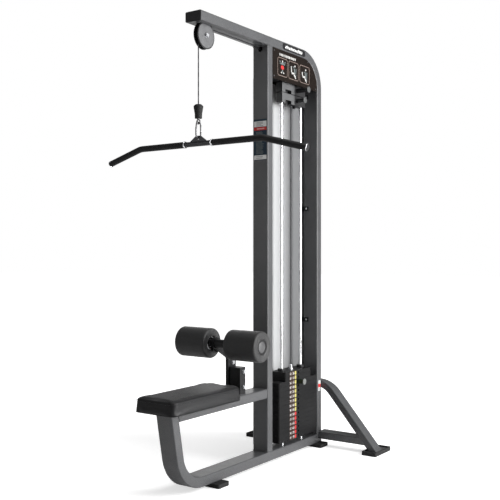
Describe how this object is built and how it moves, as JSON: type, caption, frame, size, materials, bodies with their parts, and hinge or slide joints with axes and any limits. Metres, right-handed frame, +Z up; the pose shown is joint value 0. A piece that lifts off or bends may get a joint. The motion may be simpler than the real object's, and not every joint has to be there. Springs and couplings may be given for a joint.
{
  "type": "lat pulldown machine",
  "caption": "Lat pulldown tower with cable, bent wide-grip bar, weight stack, padded seat, thigh rollers and rear arch feet.",
  "frame": {"origin": "on the floor, in the middle of the machine's footprint", "axes": "+Z up, +Y the way the seated user faces, X across the machine with +X on the side the pins are pulled from"},
  "size_m": [1.216, 1.548, 2.3],
  "materials": {
    "frame_paint": "satin graphite enamel",
    "arm_paint": "black enamel plate",
    "foot_rubber": "matt black rubber",
    "black_plastic": "black nylon",
    "upholstery": "black vinyl, fine grain",
    "board": "dark stained plywood",
    "steel_bolts": "zinc plated",
    "foam": "black closed-cell foam",
    "cable_steel": "black coated steel cable",
    "chrome": "polished chrome",
    "bar_steel": "black plated bar",
    "grip_rubber": "black ribbed rubber grip",
    "plate_paint": "dark enamel on cut steel",
    "addon_paint": "light grey and black enamel",
    "pin_handle": "dark green moulded handle",
    "panel_brown": "dark brown laminate",
    "shroud_white": "silver white acrylic sheet",
    "bracket_black": "black enamel"
  },
  "bodies": {
    "root": {"addon_weight_upper": "addon_paint", "arch_brace": "frame_paint", "base_feet": "foot_rubber", "base_tube": "frame_paint", "cable_top_run": "cable_steel", "crossbars": "frame_paint", "far_top_panel": "panel_brown", "foot_plates": "frame_paint", "front_upright": "frame_paint", "guide_rods": "chrome", "instruction_panel": "panel_brown", "keeper_bar": "frame_paint", "pulley_bearings": "steel_bolts", "pulley_bolts": "steel_bolts", "pulley_cheeks": "frame_paint", "rear_shroud": "shroud_white", "resting_plates": "plate_paint", "rod_feet": "chrome", "rod_top_bar": "frame_paint", "roller_shaft": "chrome", "seat_board": "board", "seat_bolts": "steel_bolts", "seat_pad": "upholstery", "seat_tube": "frame_paint", "shroud_brackets": "bracket_black", "side_feet": "foot_rubber", "stack_bumpers": "foot_rubber", "thigh_arm": "arm_paint", "thigh_bolts": "steel_bolts", "thigh_post": "frame_paint", "top_arm": "frame_paint", "tower_pulley_bracket": "frame_paint", "tube_end_caps": "black_plastic"},
    "lifted_stack": {"top_plate": "plate_paint", "second_plate": "plate_paint", "pinned_plate": "plate_paint", "selector_rod": "chrome", "guide_bushes": "black_plastic", "cable_end_bolt": "steel_bolts", "cable_stack_drop": "cable_steel"},
    "pull_end": {"cable_front_drop": "cable_steel", "cable_stopper": "foot_rubber", "cable_eye": "chrome"},
    "bar_set": {"carabiner_body": "chrome", "lat_bar": "bar_steel", "hanger_tab": "bar_steel", "bar_grips": "grip_rubber", "bar_collars": "chrome", "bar_end_caps": "chrome"},
    "gate": {"carabiner_gate": "chrome"},
    "front_wheel": {"front_sheave": "black_plastic"},
    "tower_wheel": {"tower_sheave": "black_plastic"},
    "pin": {"selector_pin": "pin_handle"},
    "addon_low": {"addon_weight_lower": "addon_paint"},
    "addon_low_pin": {"addon_pin_lower": "black_plastic"},
    "addon_up_pin": {"addon_pin_upper": "black_plastic"},
    "roller_left": {"foam_roller_left": "foam", "roller_core_left": "black_plastic"},
    "roller_right": {"foam_roller_right": "foam", "roller_core_right": "black_plastic"}
  },
  "joints": [
    {"name": "stack_lift", "type": "slide", "parent": "root", "child": "lifted_stack", "axis": [0, 0, 1], "range_m": [0, 0.8], "deforming": ["cable_stack_drop"]},
    {"name": "bar_pull", "type": "slide", "parent": "root", "child": "pull_end", "axis": [0, 0, -1], "range_m": [0, 0.8], "deforming": ["cable_front_drop"]},
    {"name": "bar_turn", "type": "hinge", "parent": "pull_end", "child": "bar_set", "pos_m": [0, -0.442, 1.667], "axis": [0, 0, 1], "range_deg": [-30, 30]},
    {"name": "gate_open", "type": "hinge", "parent": "bar_set", "child": "gate", "pos_m": [0, -0.424, 1.7243], "axis": [1, 0, 0], "range_deg": [0, 25], "stiffness_Nm_per_rad": 0.15, "springref_deg": -8.59},
    {"name": "front_sheave_spin", "type": "hinge", "parent": "root", "child": "front_wheel", "pos_m": [0, -0.398, 2.198], "axis": [1, 0, 0], "continuous": true},
    {"name": "tower_sheave_spin", "type": "hinge", "parent": "root", "child": "tower_wheel", "pos_m": [0, 0.354, 2.198], "axis": [1, 0, 0], "continuous": true},
    {"name": "pin_pull", "type": "slide", "parent": "lifted_stack", "child": "pin", "axis": [1, 0, 0], "range_m": [0, 0.12]},
    {"name": "addon_drop", "type": "slide", "parent": "root", "child": "addon_low", "axis": [0, 0, -1], "range_m": [0, 0.6]},
    {"name": "addon_pin_lower_pull", "type": "slide", "parent": "addon_low", "child": "addon_low_pin", "axis": [1, 0, 0], "range_m": [0, 0.012], "stiffness_N_per_m": 800, "springref_m": -0.005},
    {"name": "addon_pin_upper_pull", "type": "slide", "parent": "root", "child": "addon_up_pin", "axis": [1, 0, 0], "range_m": [0, 0.012], "stiffness_N_per_m": 800, "springref_m": -0.005},
    {"name": "roller_left_spin", "type": "hinge", "parent": "root", "child": "roller_left", "pos_m": [-0.154, -0.255, 0.681], "axis": [1, 0, 0], "continuous": true},
    {"name": "roller_right_spin", "type": "hinge", "parent": "root", "child": "roller_right", "pos_m": [0.154, -0.255, 0.681], "axis": [1, 0, 0], "continuous": true}
  ],
  "couplings": [
    {"joint": "bar_pull", "follows": "stack_lift", "ratio": 1},
    {"joint": "front_sheave_spin", "follows": "stack_lift", "rad_per_m": 22.727},
    {"joint": "tower_sheave_spin", "follows": "stack_lift", "rad_per_m": 22.727}
  ]
}
